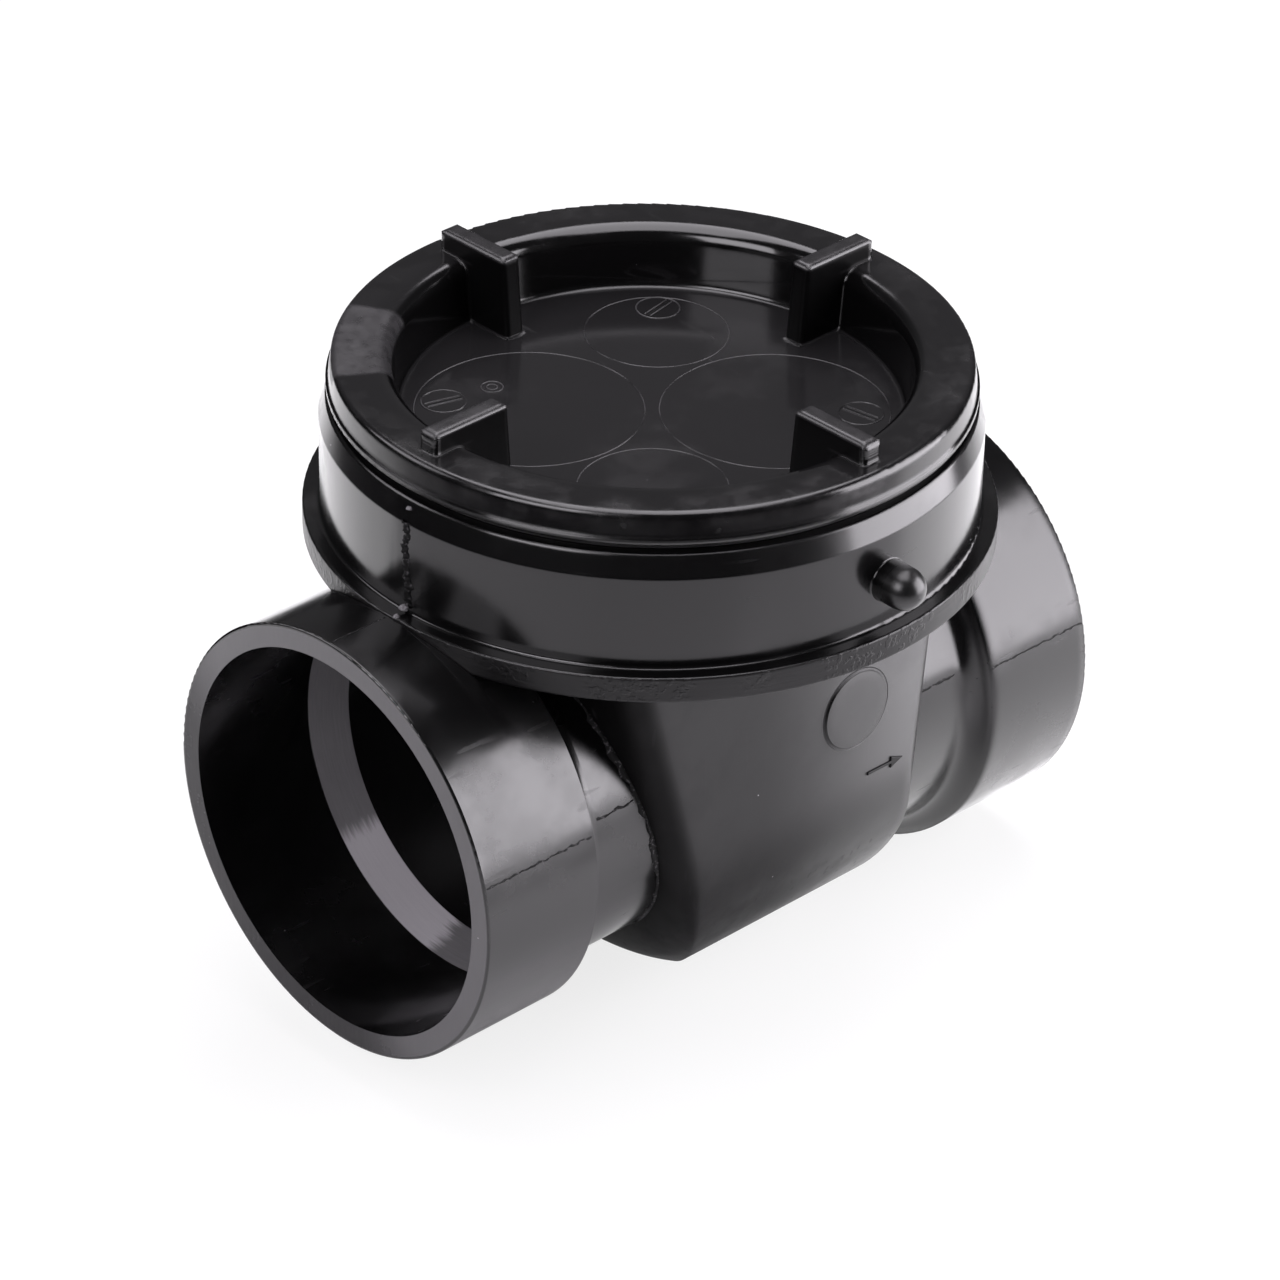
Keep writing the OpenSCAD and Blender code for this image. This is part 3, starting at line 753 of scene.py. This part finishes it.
def softbox(name, place, target, width, height, level):
    """An area lamp of even brightness, aimed at a point, with its height lying towards the back."""
    data = bpy.data.lights.new(name, "AREA")
    data.shape = "RECTANGLE"
    data.size, data.size_y = width, height
    data.energy = level * math.pi * width * height
    data.color = (1.0, 0.965, 1.02)
    lamp = bpy.data.objects.new(name, data)
    back = (Vector(place) - Vector(target)).normalized()
    overhead = abs(back.z) > 0.9
    upright = -TO_CAMERA if overhead else Vector((0, 0, 1))
    side = upright.cross(back).normalized()
    turn = Matrix((side, back.cross(side), back)).transposed().to_4x4()
    lamp.matrix_world = Matrix.Translation(Vector(place)) @ turn
    scene.collection.objects.link(lamp)


def camera():
    """Long lens from the inlet's left front, as the photograph was taken."""
    rise, roll = math.radians(CAMERA_RISE), math.radians(CAMERA_ROLL)
    back = TO_CAMERA * math.cos(rise) + Vector((0, 0, math.sin(rise)))
    right = Vector((-TO_CAMERA.y, TO_CAMERA.x, 0))
    up = back.cross(right)
    side = right * math.cos(roll) + up * math.sin(roll)
    top = up * math.cos(roll) - right * math.sin(roll)
    data = bpy.data.cameras.new("camera")
    data.sensor_width = 36
    data.lens = data.sensor_width * FOCAL_PX / PHOTO_PX
    data.clip_start, data.clip_end = 0.05, 50
    eye = bpy.data.objects.new("camera", data)
    turn = Matrix((side, top, back)).transposed().to_4x4()
    eye.matrix_world = Matrix.Translation(CAMERA_AIM + back * CAMERA_FAR) @ turn
    scene.collection.objects.link(eye)
    scene.camera = eye


ground()
sky()
softbox("top_softbox", (0.395, 0.289, 1.25), (0.395, 0.289, 0), width=0.9, height=1.7, level=4.5)
softbox("right_softbox", (0.648, -0.53, 0.28), (0.118, 0, 0.28), width=0.7, height=0.72, level=8.5)
softbox("left_softbox", (-0.47, 0.68, 0.65), (0.05, 0, 0), width=0.5, height=0.5, level=4.0)
softbox("mouth_softbox", (-0.95, -0.15, 0.72), (0.05, 0, 0), width=0.7, height=0.7, level=6.5)
camera()
scene.view_settings.view_transform = "Standard"
